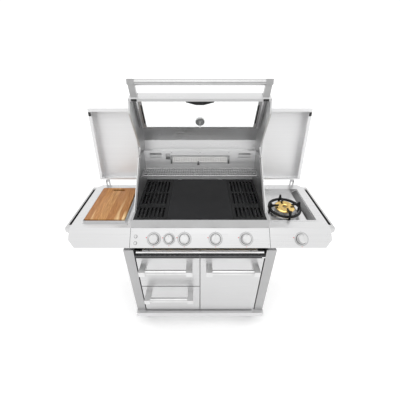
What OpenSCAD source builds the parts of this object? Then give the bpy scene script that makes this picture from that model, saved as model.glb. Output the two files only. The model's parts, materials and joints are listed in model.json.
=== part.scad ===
/* [Overall] */
// Height of the cooking surface above the ground
cook_z = 900; // [890:1:910]
// Half width of the cooking area
cook_half_w = 390; // [380:1:392]
// Front edge of the cooking area, ahead of the origin
cook_front = 220; // [215:1:222]
// Back edge of the cooking area, behind the origin
cook_back = 265; // [264:1:266]

/* [Control panel] */
// Depth that the sloped panel covers
panel_run = 85; // [82:1:88]
// Height that the sloped panel covers
panel_drop = 78; // [76:1:80]
// Diameter of a main burner knob
knob_d = 57; // [50:1:62]
// Diameter of the dial ring behind a main burner knob
dial_d = 82; // [70:1:86]

/* [Hood] */
// Half width of the hood's outer skin
hood_half_w = 416; // [414:1:418]
// Angle between the closed and the open hood
hood_open = 103; // [90:1:103]
// Distance of the hood pivots behind the origin
hood_pivot_y = 193; // [191:1:195]
// Height of the hood pivots
hood_pivot_z = 1027; // [1025:1:1029]
// Half width of the window opening
window_half_w = 361; // [340:1:365]
// Distance of the closed hood's handle tube ahead of the hood's lower edge
hood_handle_reach = 89; // [80:1:94]

/* [Side shelves] */
// Inner edge of a side shelf, from the middle
shelf_x0 = 405.5; // [405.5:0.5:406]
// Outer edge of a side shelf, from the middle
shelf_x1 = 765; // [760:1:770]
// Height of the shelf tops
shelf_z = 852; // [850:1:854]
// Depth of the folded edge of a shelf
shelf_h = 78; // [76:1:80]
// Distance from a shelf's edge to the outside of its rail
rail_reach = 26; // [24:1:30]
// Angle between a closed and an open shelf lid
lid_open = 99; // [90:1:99]

/* [Cabinet] */
// Half width over the cabinet's posts
cabinet_half_w = 445; // [440:1:448]
// Distance of the posts' front face ahead of the origin
cabinet_front = 320; // [318:1:322]
// Distance of the cabinet's back behind the origin
cabinet_back_y = 250; // [248:1:252]
// Height of the top of the posts
cabinet_top = 754; // [752:1:755]
// Height of the top of the plinth
plinth_top = 154; // [152:1:156]
// Height of the plinth's folded skirt
plinth_h = 38; // [34:1:42]
// Height of the gap between the two drawers
drawer_split_z = 425; // [400:5:450]
// Reach of a drawer or door handle
handle_reach = 91; // [70:1:95]
// Radius of a caster wheel
wheel_r = 45; // [40:1:46]

/* [Side burner] */
// Middle of the side burner, from the middle of the grill
wok_x = 548; // [546:1:552]
// Distance of the side burner's middle ahead of the origin
wok_y = 43; // [38:1:48]
// Outer radius of the pan support ring
ring_r = 105; // [100:1:106]

/* [Hidden] */

sheet = 1.5;                     // gauge of the folded steel sheets
steel = "silver";
dark_steel = "dimgray";
iron = [0.16, 0.16, 0.17];
round_fn = 64;

// Control panel plane
panel_top_y = -236;
panel_len = norm([panel_run, panel_drop]);
panel_angle = atan2(panel_drop, panel_run);
panel_sin = panel_drop / panel_len;
panel_cos = panel_run / panel_len;
knob_s = 64;                     // distance of the knob axes down the panel
burner_knob_x = [-267, -90, 90, 267];
rear_knob_x = -179;
side_knob_x = 587;
button_x = -373;
button_s = [50, 88];
small_knob_d = knob_d - 8;
small_dial_d = dial_d - 11;
stem_r = 5;
stem_hole_r = 7;
button_r = 8;

// Folded shelf
shelf_back = 262;
shelf_bottom = shelf_z - shelf_h;
shelf_chamfer = [40, 31];        // width and height of the cut under the outer edge
shelf_corner = 34;               // plan chamfer of the outer back corner
lid_x0 = 436;
lid_x1 = 742;
lid_top = 912;
lid_mouth = 855;                 // height of the closed lid's open side
lid_back = 258;
lid_rim = 20;                    // inward lip around the lid's mouth
lid_pivot = [277, 879];          // y and z of the lid pins
lid_hinge_x = [467, 693];
lid_pin_r = 4;

// Tray and board
tray_x = [446, 702];
tray_y = [-188, 189];
tray_z = [812, 867];
board_t = 20;
board_gap = 7;                   // between the board and the tray's walls
pan_x = [430, 711];
pan_y = [-166, 201];
pan_floor = 822;
burner_cap_z = 860.5;

// Firebox
wall_out = 405;
wall_top = 1124;
firebox_bottom = 756;
plate_t = 12;
plate_gap = 1;
ledge_z = cook_z - plate_t - 0.5;
wall_profile = [
    [-213, firebox_bottom], [-213, shelf_z - 1], [-233, shelf_z - 1], [-221, cook_z - 7],
    [-135, cook_z - 7], [35, 1030], [148, wall_top], [280, wall_top], [280, firebox_bottom]
];
grill_w = 193;
slot_pitch = 24;
slot_w = 12;
front_lip = [
    [-198, ledge_z - sheet], [-221.5, ledge_z - sheet], [-221.5, cook_z - 2], [-222.5, cook_z - 1],
    [-237, shelf_z + 1]
];
slot_rows = [[-196, -98], [-54, 69], [85, 228]];
burner_x = [-292, -97, 97, 292];
burner_z = 800;
rear_face = [193, 1037, 1081];   // half width, bottom and top of the rear burner's opening
pivot_r = 8;
running_fit = 0.05;

// Hood, drawn closed; each point is y, z on the outer skin
hood_skin = [
    [-230, 890], [-244, 890], [-280, 965], [-71, 1104], [-60, 1150], [25, 1205],
    [92, 1193], [275, 1185], [277, 1172]
];
glass_foot = hood_skin[2];
glass_slope = atan2(hood_skin[3][1] - hood_skin[2][1], hood_skin[3][0] - hood_skin[2][0]);
glass_len = norm(hood_skin[3] - hood_skin[2]);
end_plate_x = 407;
hood_handle_z = 922;
hood_block = [377, 418];         // inner and outer x of an end block
hood_block_h = 36;
hood_tube_r = 16;
thermometer_y = 206;             // distance up the glass from its lower edge

// Cabinet
door_y = -cabinet_front;
door_t = 18;
post_in = cabinet_half_w - 57;
front_gap = 7;
front_low = plinth_top + 9;
front_high = 688;
bay = [-post_in, -1];
bay_mid = (bay[0] + bay[1]) / 2;
runner_w = 18;
drawer_half_w = (bay[1] - bay[0]) / 2 - runner_w - 3;
drawer_depth = 480;
drawer_low_z = [235, 560];       // height of the runners of the lower and the upper drawer
drawer_h = [150, 170];
door_pivot = [post_in - 12, door_y + 4];
hinge_pin_r = 3;
handle_bar_r = 14.5;
handle_block = 36;
drip_z = 716;
caster_x = 392;
caster_front_y = -270;
caster_rear_y = 190;
caster_trail = 22;
kingpin_r = 8;
axle_r = 5;
fork_gap = 34;

// Helpers

module block(lo, hi) {
    translate(lo) cube(hi - lo);
}

module side_extrude(x0, x1) {
    translate([x0, 0, 0]) rotate([90, 0, 90]) linear_extrude(x1 - x0) children();
}

module front_extrude(y0, y1) {
    translate([0, y1, 0]) rotate([90, 0, 0]) linear_extrude(y1 - y0) children();
}

module both_sides() {
    children();
    mirror([1, 0, 0]) children();
}

module bar_x(r, x0, x1, y, z) {
    translate([x0, y, z]) rotate([0, 90, 0]) cylinder(r = r, h = x1 - x0, $fn = round_fn);
}

module bar_y(r, y0, y1, x, z) {
    translate([x, y0, z]) rotate([-90, 0, 0]) cylinder(r = r, h = y1 - y0, $fn = round_fn);
}

// Unit normal to the left of the line from a to b
function left_normal(a, b) = let(u = (b - a) / norm(b - a)) [-u[1], u[0]];

// Corner i of a folded line, moved sideways by t with a mitred fold
function mitre(p, i, t) =
    let(
        last = len(p) - 1,
        n0 = left_normal(p[max(i - 1, 0)], p[max(i, 1)]),
        n1 = left_normal(p[min(i, last - 1)], p[min(i + 1, last)]),
        m = (n0 + n1) / norm(n0 + n1)
    )
    p[i] + m * t / (m * n0);

// Closed outline of a sheet of gauge t folded along the points p
function fold(p, t) = concat(p, [for (i = [len(p) - 1 : -1 : 0]) mitre(p, i, t)]);

// Y of the sloped fascia at height z, t inside its outer face
function fascia_y(z, t) = panel_top_y + ((z - shelf_z) * panel_cos + t) / panel_sin;

// Places children on the panel, s down the slope, with +Z out of its face
module on_panel(x, s) {
    translate([x, panel_top_y - s * panel_cos, shelf_z - s * panel_sin])
        rotate([panel_angle, 0, 0]) children();
}

// Y of the closed hood's leaning front strip at height z
function strip_y(z) =
    let(low = hood_skin[1], high = hood_skin[2])
    low[0] + (high[0] - low[0]) * (z - low[1]) / (high[1] - low[1]);

module open_hood() {
    translate([0, hood_pivot_y, hood_pivot_z]) rotate([-hood_open, 0, 0])
        translate([0, -hood_pivot_y, -hood_pivot_z]) children();
}

// Places children on the glass, with +Y up its slope and +Z outwards
module on_glass() {
    translate([0, glass_foot[0], glass_foot[1]]) rotate([glass_slope, 0, 0]) children();
}

module open_lid() {
    translate([0, lid_pivot[0], lid_pivot[1]]) rotate([-lid_open, 0, 0])
        translate([0, -lid_pivot[0], -lid_pivot[1]]) children();
}

// Cabinet

module base_plinth() {
    color(steel) difference() {
        block([-450, door_y - 23, plinth_top - plinth_h], [450, cabinet_back_y + 5, plinth_top]);
        block([-448, door_y - 21, 0], [448, cabinet_back_y + 3, plinth_top - 2]);
    }
}

module cabinet_sides() {
    color(steel) both_sides() {
        block([cabinet_half_w - sheet, door_y, plinth_top], [cabinet_half_w, cabinet_back_y, cabinet_top]);
        block([post_in, door_y, plinth_top], [cabinet_half_w, door_y + sheet, cabinet_top]);
        block([post_in, door_y, plinth_top], [post_in + sheet, door_y + 30, cabinet_top]);
        block([post_in, door_y, cabinet_top - sheet], [cabinet_half_w, door_y + 30, cabinet_top]);
        block([cabinet_half_w - 40, door_y + 30, cabinet_top - sheet],
              [cabinet_half_w, cabinet_back_y, cabinet_top]);
    }
}

module cabinet_back() {
    hose_hole_r = 30;
    inset = cabinet_half_w - sheet;
    color(steel) difference() {
        block([-inset, cabinet_back_y - 2 * sheet, plinth_top], [inset, cabinet_back_y - sheet, 734]);
        bar_y(hose_hole_r, cabinet_back_y - 10, cabinet_back_y + 10, 300, 420);
        for (x = [-300 : 40 : -60], z = [560, 620])
            block([x - 4, cabinet_back_y - 10, z], [x + 4, cabinet_back_y + 10, z + 40]);
    }
}

module cabinet_liner() {
    back = cabinet_back_y - 2 * sheet;
    low = plinth_top + sheet;
    color(steel) {
        block([-post_in - sheet, door_y + 32, plinth_top], [post_in + sheet, back, low]);
        block([-sheet / 2, door_y + 36, low], [sheet / 2, back, front_high]);
        block([-6, door_y + 34, low], [6, door_y + 36, front_high]);
        both_sides() block([post_in, door_y + 32, low], [post_in + sheet, back, front_high]);
    }
}

module front_rail() {
    color(dark_steel) difference() {
        union() {
            block([-post_in, door_y + 4, 698], [post_in, door_y + 28, 700]);
            block([-post_in, door_y + 4, 691], [post_in, door_y + 6, 700]);
        }
        for (x = [-360 : 30 : 360])
            block([x - 8, door_y + 12, 690], [x + 8, door_y + 17, 705]);
        block([door_pivot[0] - 8, door_y, 690], [post_in + 1, door_y + 14, 698]);
    }
}

module drawer_runners() {
    color(dark_steel) for (z = drawer_low_z, side = [-1, 1])
        translate([bay_mid, 0, z]) scale([side, 1, 1]) difference() {
            block([drawer_half_w + 3, door_y + 38, -16], [drawer_half_w + 3 + runner_w, 180, 16]);
            block([drawer_half_w, door_y + 30, -9], [drawer_half_w + 15, 190, 9]);
        }
}

// Square-ended bar handle on the face y = 0, centred on x = 0, z = 0
module bar_handle(half_w, reach, block_w, tube_r) {
    both_sides() {
        block([half_w - block_w, -reach, -block_w / 2], [half_w, -reach + block_w, block_w / 2]);
        block([half_w - block_w, -reach + 2, -block_w / 2 + 4], [half_w - 1, 0, block_w / 2 - 4]);
    }
    bar_x(tube_r, block_w - half_w - 2, half_w - block_w + 2, -reach + block_w / 2, 0);
}

// Folded front panel between two heights
module front_panel(x0, x1, z0, z1) {
    difference() {
        block([x0, door_y, z0], [x1, door_y + door_t, z1]);
        block([x0 + sheet, door_y + sheet, z0 + sheet], [x1 - sheet, door_y + door_t + 1, z1 - sheet]);
    }
}

// Open drawer box with a slide bar on each side
module drawer_box(z, h) {
    y0 = door_y + door_t;
    translate([bay_mid, 0, z]) {
        difference() {
            block([-drawer_half_w, y0, -h / 2], [drawer_half_w, y0 + drawer_depth, h / 2]);
            block([-drawer_half_w + sheet, y0 + sheet, -h / 2 + sheet],
                  [drawer_half_w - sheet, y0 + drawer_depth - sheet, h / 2 + 1]);
        }
        both_sides() block([drawer_half_w, y0 + 26, -8], [drawer_half_w + 14, y0 + 470, 8]);
    }
}

module drawer_front(z0, z1) {
    color(steel) front_panel(front_gap - post_in, -3, z0, z1);
}

module drawer_handle(z) {
    color(steel) translate([-198, door_y, z]) bar_handle(154, handle_reach, handle_block, handle_bar_r);
}

module drawer_upper_box() {
    color(steel) drawer_box(drawer_low_z[1], drawer_h[1]);
}

module drawer_upper_front() {
    drawer_front(drawer_split_z + 3, front_high);
}

module drawer_upper_handle() {
    drawer_handle(front_high - 38);
}

module drawer_lower_box() {
    color(steel) drawer_box(drawer_low_z[0], drawer_h[0]);
}

module drawer_lower_front() {
    drawer_front(front_low, drawer_split_z - 3);
}

module drawer_lower_handle() {
    drawer_handle(drawer_split_z - 40);
}

module door_panel() {
    color(steel) {
        front_panel(3, post_in - front_gap, front_low, front_high);
        for (z = [front_low - 5, front_high - 1])
            translate([door_pivot[0], door_pivot[1], z]) cylinder(r = hinge_pin_r, h = 9, $fn = 32);
    }
}

module door_handle() {
    color(steel) translate([191, door_y, front_high - 38])
        bar_handle(155, handle_reach, handle_block, handle_bar_r);
}

module drip_tray() {
    half_w = 340;
    bar_half_w = 376;
    front = door_y + 14;
    back = 150;
    color(steel) {
        difference() {
            block([-half_w, front, drip_z], [half_w, back, drip_z + 22]);
            block([-half_w + sheet, front + sheet, drip_z + sheet],
                  [half_w - sheet, back - sheet, drip_z + 30]);
        }
        block([-bar_half_w, front - 8, drip_z + 8], [bar_half_w, front, drip_z + 20]);
    }
}

// Casters, drawn about the swivel axis; the wheel trails behind it

module caster_socket() {
    difference() {
        union() {
            block([-38, -38, plinth_top - 6], [38, 38, plinth_top - 2]);
            translate([0, 0, 128]) cylinder(r = 22, h = 22, $fn = round_fn);
        }
        translate([0, 0, 120]) cylinder(r = kingpin_r + running_fit, h = 26, $fn = round_fn);
    }
}

module caster_fork() {
    leg = fork_gap / 2;
    block([-leg - 3, -16, 118], [leg + 3, caster_trail + 16, 122]);
    both_sides() side_extrude(leg, leg + 3)
        polygon([[-14, 119], [caster_trail - 12, wheel_r - 9], [caster_trail + 12, wheel_r - 9],
                 [caster_trail + 14, 119]]);
    bar_x(axle_r, -leg - 5, leg + 5, caster_trail, wheel_r);
}

module swivel_fork(x) {
    color(dark_steel) translate([x, caster_front_y, 0]) {
        caster_fork();
        translate([0, 0, 120]) cylinder(r = kingpin_r, h = 24, $fn = round_fn);
        block([-12, caster_trail + 14, 104], [12, caster_trail + 44, 107]);
        block([-12, caster_trail + 12, 104], [12, caster_trail + 16, 121]);
    }
}

module wheel(x, y) {
    color("black") translate([x, y + caster_trail, wheel_r]) rotate([0, 90, 0]) difference() {
        rotate_extrude($fn = 96)
            polygon([[0, -15], [22, -15], [24, -12], [wheel_r - 9, -12], [wheel_r - 5, -13],
                     [wheel_r, -8], [wheel_r, 8], [wheel_r - 5, 13], [wheel_r - 9, 12], [24, 12],
                     [22, 15], [0, 15]]);
        cylinder(r = axle_r + running_fit, h = 60, center = true, $fn = round_fn);
    }
}

module caster_mounts() {
    color(dark_steel) both_sides() {
        translate([caster_x, caster_front_y, 0]) caster_socket();
        translate([caster_x, caster_rear_y, 0]) {
            block([-38, -38, plinth_top - 6], [38, 38, plinth_top - 2]);
            translate([0, 0, 120]) cylinder(r = 22, h = 29, $fn = round_fn);
            caster_fork();
        }
    }
}

module caster_fork_left() {
    swivel_fork(-caster_x);
}

module caster_fork_right() {
    swivel_fork(caster_x);
}

module wheel_front_left() {
    wheel(-caster_x, caster_front_y);
}

module wheel_front_right() {
    wheel(caster_x, caster_front_y);
}

module wheel_rear_left() {
    wheel(-caster_x, caster_rear_y);
}

module wheel_rear_right() {
    wheel(caster_x, caster_rear_y);
}

// Firebox

module firebox_shell() {
    front_y = -213;
    color(steel) {
        both_sides() {
            difference() {
                side_extrude(cook_half_w, wall_out) polygon(wall_profile);
                intersection() {
                    side_extrude(cook_half_w + sheet, wall_out - sheet)
                        translate([0, -sheet]) polygon(wall_profile);
                    block([0, front_y + sheet, 0], [500, 280 - sheet, 1300]);
                }
            }
            bar_x(pivot_r, wall_out - sheet, hood_half_w, hood_pivot_y, hood_pivot_z);
            block([wall_out - sheet, front_y, cabinet_top], [wall_out + 30, 280, firebox_bottom + sheet]);
            for (y = [110, 190])
                block([cook_half_w - 12, y - 5, 1008], [cook_half_w + sheet, y + 5, 1016]);
        }
        difference() {
            block([-cook_half_w - 1, front_y, firebox_bottom],
                  [cook_half_w + 1, 280, firebox_bottom + sheet]);
            block([-240, -120, 700], [240, 140, 800]);
        }
        difference() {
            block([-cook_half_w - 1, front_y, firebox_bottom], [cook_half_w + 1, front_y + sheet, ledge_z]);
            for (x = burner_x)
                bar_y(12.5, front_y - 10, front_y + 10, x, burner_z);
        }
        side_extrude(-cook_half_w - 1, cook_half_w + 1)
            polygon(fold(front_lip, -sheet));
        block([-cook_half_w - 1, 243, ledge_z - sheet], [cook_half_w + 1, 280, ledge_z]);
        block([-cook_half_w - 1, 280 - sheet, firebox_bottom], [cook_half_w + 1, 280, ledge_z]);
    }
}

module rear_wall() {
    half_w = cook_half_w - 0.2;
    low = ledge_z + 0.5;
    box_half_w = rear_face[0] + 6;
    vents = [[1072, 1076], [1081, 1085], [1091, 1107]];
    crest = [348, 307];          // half width of the sloped crest, below and above
    crest_z = wall_top + 10;
    color(steel) {
        difference() {
            block([-half_w, cook_back, low], [half_w, 280, wall_top]);
            block([-half_w + sheet, cook_back + sheet, low - 5],
                  [half_w - sheet, 280 - sheet, wall_top - sheet]);
            block([-rear_face[0], 200, rear_face[1]], [rear_face[0], 275, rear_face[2]]);
            block([-box_half_w, 275, rear_face[1] - 6], [box_half_w, 300, rear_face[2] + 6]);
            both_sides() for (vent = vents)
                block([270, 200, vent[0]], [352, 300, vent[1]]);
        }
        intersection() {
            side_extrude(-crest[0], crest[0])
                polygon(fold([[cook_back, wall_top], [280, crest_z]], -sheet));
            front_extrude(200, 300)
                polygon([[-crest[0], wall_top - 5], [-crest[0], wall_top], [-crest[1], crest_z],
                         [crest[1], crest_z], [crest[0], wall_top], [crest[0], wall_top - 5]]);
        }
    }
}

module rear_burner() {
    half_w = rear_face[0] - 1;
    low = rear_face[1] + 1;
    high = rear_face[2] - 1;
    pitch = 12;
    color("gainsboro") {
        difference() {
            block([-half_w, 262, low], [half_w, 316, high]);
            for (x = [-half_w + 9 : pitch : half_w - 9])
                block([x, 260, low + 6], [x + 7, 264, high - 6]);
        }
        block([-half_w - 4, 281, low - 4], [half_w + 4, 312, high + 4]);
    }
}

module main_burners() {
    color(dark_steel) for (x = burner_x) {
        bar_y(12, -232, -180, x, burner_z);
        bar_y(16, -185, 235, x, burner_z);
    }
}

// Roof-shaped bars over the burners
module flame_tamers() {
    half_w = 62;
    color(dark_steel) for (x = burner_x)
        translate([x, 0, 0]) front_extrude(-211, 264)
            polygon(fold([[-half_w, 838], [-14, 868], [14, 868], [half_w, 838]], -1.5));
}

module valve_manifold() {
    pipe_r = 8;
    pipe_s = 56;
    pipe_y = panel_top_y - knob_s * panel_cos + pipe_s * panel_sin;
    pipe_z = shelf_z - knob_s * panel_sin - pipe_s * panel_cos;
    inlet_x = 365;
    inlet_z = 744;
    color("goldenrod") {
        bar_x(pipe_r, -300, inlet_x, pipe_y, pipe_z);
        for (x = concat(burner_knob_x, [rear_knob_x]))
            on_panel(x, knob_s) translate([0, 0, -pipe_s]) cylinder(r = 11, h = 30, $fn = round_fn);
        translate([inlet_x, pipe_y, pipe_z]) sphere(r = pipe_r + 1, $fn = round_fn);
        translate([inlet_x, pipe_y, inlet_z]) cylinder(r = pipe_r, h = pipe_z - inlet_z, $fn = round_fn);
        translate([inlet_x, pipe_y, inlet_z]) sphere(r = pipe_r + 1, $fn = round_fn);
        bar_y(pipe_r, pipe_y, 290, inlet_x, inlet_z);
        translate([inlet_x, 254, inlet_z]) rotate([-90, 0, 0]) cylinder(r = 11, h = 10, $fn = 6);
    }
}

module control_panel() {
    inner_low = fascia_y(shelf_bottom + 2, 2);
    inner_high = fascia_y(shelf_z - 1.5, 2);
    color(steel) difference() {
        side_extrude(-wall_out, wall_out)
            polygon([[panel_top_y, shelf_z], [panel_top_y - panel_run, shelf_bottom],
                     [-296, shelf_bottom], [-296, shelf_bottom + 2], [inner_low, shelf_bottom + 2],
                     [inner_high, shelf_z - 1.5]]);
        for (x = concat(burner_knob_x, [rear_knob_x]))
            on_panel(x, knob_s) cylinder(r = stem_hole_r, h = 12, center = true, $fn = round_fn);
        for (s = button_s)
            on_panel(button_x, s) cylinder(r = button_r + 0.3, h = 12, center = true, $fn = round_fn);
    }
}

module bezel(x, d) {
    on_panel(x, knob_s) difference() {
        rotate_extrude($fn = 96)
            polygon([[0, 0], [d / 2, 0], [d / 2, 0.8], [d / 2 - 1.2, 1.6], [d / 2 - 3, 1.6],
                     [d / 2 - 4, 1], [0, 1]]);
        cylinder(r = stem_hole_r, h = 10, center = true, $fn = round_fn);
    }
}

module knob_bezels() {
    color("gainsboro") {
        for (x = concat(burner_knob_x, [side_knob_x]))
            bezel(x, dial_d);
        bezel(rear_knob_x, small_dial_d);
    }
}

module knob(x, d) {
    r = d / 2;
    color("gainsboro") on_panel(x, knob_s) difference() {
        rotate_extrude($fn = 96)
            polygon([[0, -24], [stem_r, -24], [stem_r, 2], [r, 2], [r, 7], [r - 2, 9], [r - 3.5, 27],
                     [r - 6, 30], [0, 30]]);
        translate([-1.2, r - 14, 29.2]) cube([2.4, 8, 3]);
    }
}

module knob_burner_1() {
    knob(burner_knob_x[0], knob_d);
}

module knob_rear_burner() {
    knob(rear_knob_x, small_knob_d);
}

module knob_burner_2() {
    knob(burner_knob_x[1], knob_d);
}

module knob_burner_3() {
    knob(burner_knob_x[2], knob_d);
}

module knob_burner_4() {
    knob(burner_knob_x[3], knob_d);
}

module knob_side_burner() {
    knob(side_knob_x, knob_d);
}

module push_button(s) {
    color("gainsboro") on_panel(button_x, s) rotate_extrude($fn = round_fn)
        polygon([[0, -12], [button_r, -12], [button_r, 4], [button_r - 1, 5], [0, 5]]);
}

module button_ignition() {
    push_button(button_s[0]);
}

module button_light() {
    push_button(button_s[1]);
}

// Cooking plates

module cooking_plate(x0, x1) {
    difference() {
        block([x0, -cook_front + 1, cook_z - plate_t], [x1, cook_back - 2, cook_z]);
        children();
    }
}

module grill_plate(x0) {
    first = x0 + (grill_w - 6 * slot_pitch) / 2;
    color(iron) cooking_plate(x0, x0 + grill_w)
        for (row = slot_rows, i = [0 : 6])
            block([first + i * slot_pitch - slot_w / 2, row[0], cook_z - 20],
                  [first + i * slot_pitch + slot_w / 2, row[1], cook_z + 1]);
}

module grill_left() {
    grill_plate(-cook_half_w + plate_gap);
}

module grill_right() {
    grill_plate(cook_half_w - plate_gap - grill_w);
}

module hotplate() {
    half_w = cook_half_w - grill_w - 2 * plate_gap;
    notch_w = 16;
    color(iron) cooking_plate(-half_w, half_w) {
        for (x = [0, -half_w + 12, half_w - 12])
            block([x - notch_w, -cook_front - 5, cook_z - 20], [x + notch_w, -cook_front + 7, cook_z + 1]);
        for (x = [-150, 150])
            block([x - notch_w, cook_back - 8, cook_z - 20], [x + notch_w, cook_back + 5, cook_z + 1]);
    }
}

module warming_rack() {
    half_w = cook_half_w - 4;
    y0 = 92;
    y1 = 206;
    z = 1016.5;
    wires = 48;
    color("silver") {
        for (y = [y0, y1 - 6])
            block([-half_w, y, z], [half_w, y + 6, z + 6]);
        both_sides() block([half_w - 6, y0, z], [half_w, y1, z + 6]);
        for (i = [1 : wires - 1])
            translate([-half_w + i * 2 * half_w / wires - 1.5, y0 + 1, z + 2])
                cube([3, y1 - y0 - 2, 3]);
    }
}

// Hood, drawn closed and turned open about its pivots

module hood_shell() {
    color(steel) open_hood() difference() {
        side_extrude(-hood_half_w, hood_half_w) polygon(fold(hood_skin, -sheet));
        on_glass() block([-window_half_w, 10, -20], [window_half_w, glass_len - 8, 20]);
    }
}

module hood_ends() {
    top = [for (i = [1 : len(hood_skin) - 1]) mitre(hood_skin, i, -sheet - 0.05)];
    rim = [[hood_skin[0][0] + 0.5, hood_skin[0][1]], [-164, 877], [56, 1056]];
    lip_top = [rim[0][0], hood_skin[0][1] + sheet + 0.05];
    lobe = [[240, 1060], [234, 1003], [193, 985], [155, 1000]];
    color(steel) open_hood() both_sides() difference() {
        union() {
            side_extrude(end_plate_x, end_plate_x + sheet)
                polygon(concat(top, lobe, [rim[2], rim[1], rim[0], lip_top]));
            side_extrude(end_plate_x, hood_half_w) polygon(fold(rim, sheet));
        }
        bar_x(pivot_r + running_fit, 400, 430, hood_pivot_y, hood_pivot_z);
    }
}

module hood_glass() {
    color("lightcyan", 0.4) open_hood() on_glass() difference() {
        block([-window_half_w - 8, 5, -6.5], [window_half_w + 8, glass_len - 5, -sheet - 0.1]);
        translate([0, thermometer_y, -10]) cylinder(r = 9.1, h = 20, $fn = round_fn);
    }
}

// Round tube between square end blocks, each on an arm that leans in towards the hood's front strip
module hood_handle() {
    tube_y = hood_skin[1][0] - hood_handle_reach;
    low = hood_handle_z - hood_block_h / 2;
    high = hood_handle_z + hood_block_h / 2;
    arm_low = low + 4;
    arm_high = high - 4;
    color(steel) open_hood() {
        both_sides() {
            block([hood_block[0], tube_y - 17, low], [hood_block[1], tube_y + 13, high]);
            intersection() {
                side_extrude(hood_block[0] - 20, hood_block[1])
                    polygon([[tube_y, arm_low], [tube_y, arm_high],
                             [strip_y(arm_high) - 0.3, arm_high], [strip_y(arm_low) - 0.3, arm_low]]);
                translate([0, 0, low]) linear_extrude(hood_block_h)
                    polygon([[hood_block[0] + 2, tube_y - 5], [hood_block[1] - 2, tube_y - 5],
                             [hood_block[1] - 16, -240], [hood_block[0] - 13, -240]]);
            }
        }
        bar_x(hood_tube_r, -hood_block[0] - 2, hood_block[0] + 2, tube_y, hood_handle_z);
    }
}

module thermometer() {
    color("silver") open_hood() on_glass() translate([0, thermometer_y, 0]) {
        rotate_extrude($fn = 96)
            polygon([[0, -1.4], [29, -1.4], [31, 1], [31, 12], [28, 15], [27, 13], [0, 13]]);
        translate([0, 0, -12]) cylinder(r = 9, h = 11, $fn = round_fn);
        translate([0, 0, -12]) cylinder(r = 17, h = 5, $fn = 6);
        translate([0, 0, -70]) cylinder(r = 3, h = 60, $fn = 32);
    }
}

// Side shelves, drawn on the right and mirrored for the left

// Solid outline of a shelf, moved inwards by t and open below where t is above 0
module shelf_solid(t) {
    zt = shelf_z - t;
    zb = t > 0 ? shelf_bottom - 5 : shelf_bottom;
    x1 = shelf_x1 - t;
    intersection() {
        side_extrude(shelf_x0 + t, x1)
            polygon([[fascia_y(zt, t), zt], [fascia_y(zb, t), zb], [shelf_back - t, zb],
                     [shelf_back - t, zt]]);
        front_extrude(-340, 280)
            polygon([[0, zb], [x1 - shelf_chamfer[0], zb], [x1 - shelf_chamfer[0], shelf_bottom],
                     [x1, shelf_bottom + shelf_chamfer[1]], [x1, zt], [0, zt]]);
        translate([0, 0, zb]) linear_extrude(200)
            polygon([[0, -340], [x1, -340], [x1, shelf_back - shelf_corner],
                     [x1 - shelf_corner, shelf_back], [0, shelf_back]]);
    }
}

module shelf_shell() {
    color(steel) difference() {
        shelf_solid(0);
        shelf_solid(sheet);
        children();
    }
}

module shelf_left() {
    mirror([1, 0, 0]) shelf_shell() {
        block([tray_x[0] + 0.5, tray_y[0] - 1, 700], [tray_x[1] + 1, tray_y[1] + 1, 900]);
        block([427, -212, 800], [431, -186, 900]);
    }
}

module shelf_right() {
    shelf_shell() {
        block([pan_x[0], pan_y[0], 700], [pan_x[1], pan_y[1], 900]);
        on_panel(side_knob_x, knob_s) cylinder(r = stem_hole_r, h = 12, center = true, $fn = round_fn);
    }
}

// Rail beyond the shelf's outer edge, on a block at each end
module side_rails() {
    out = shelf_x1 + rail_reach;
    color("gainsboro") both_sides() {
        block([out - 11, -238, 826], [out, 226, shelf_z]);
        front_extrude(-240, -208) polygon([[shelf_x1, 806], [shelf_x1, shelf_z], [out, shelf_z], [out, 826]]);
        front_extrude(196, 226) polygon([[shelf_x1, 806], [shelf_x1, shelf_z], [out, shelf_z], [out, 826]]);
    }
}

module prep_tray() {
    flange = 6;
    color(steel) mirror([1, 0, 0]) {
        difference() {
            block([tray_x[0] + 1, tray_y[0], tray_z[0]], [tray_x[1], tray_y[1], tray_z[1]]);
            block([tray_x[0] + 1 + sheet, tray_y[0] + sheet, tray_z[0] + sheet],
                  [tray_x[1] - sheet, tray_y[1] - sheet, tray_z[1] + 1]);
        }
        difference() {
            block([tray_x[0] + 1 - flange, tray_y[0] - flange, shelf_z + 0.3],
                  [tray_x[1] + flange, tray_y[1] + flange, shelf_z + 1.8]);
            block([tray_x[0] + 2, tray_y[0] + 1, shelf_z - 1], [tray_x[1] - 1, tray_y[1] - 1, shelf_z + 5]);
        }
        for (x = [tray_x[0] + 2, tray_x[1] - 19], y = [tray_y[0] + 1, tray_y[1] - 19])
            block([x, y, shelf_z], [x + 18, y + 18, shelf_z + 2]);
    }
}

module cutting_board() {
    x0 = tray_x[0] + 1 + board_gap;
    x1 = tray_x[1] - board_gap;
    low = shelf_z + 2.3;
    grip_half_w = 42;
    color("peru") mirror([1, 0, 0]) difference() {
        block([x0, tray_y[0] + board_gap, low], [x1, tray_y[1] - board_gap, low + board_t]);
        block([(x0 + x1) / 2 - grip_half_w, 141, low - 5], [(x0 + x1) / 2 + grip_half_w, 161, low + board_t + 5]);
    }
}

// Side burner

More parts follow.
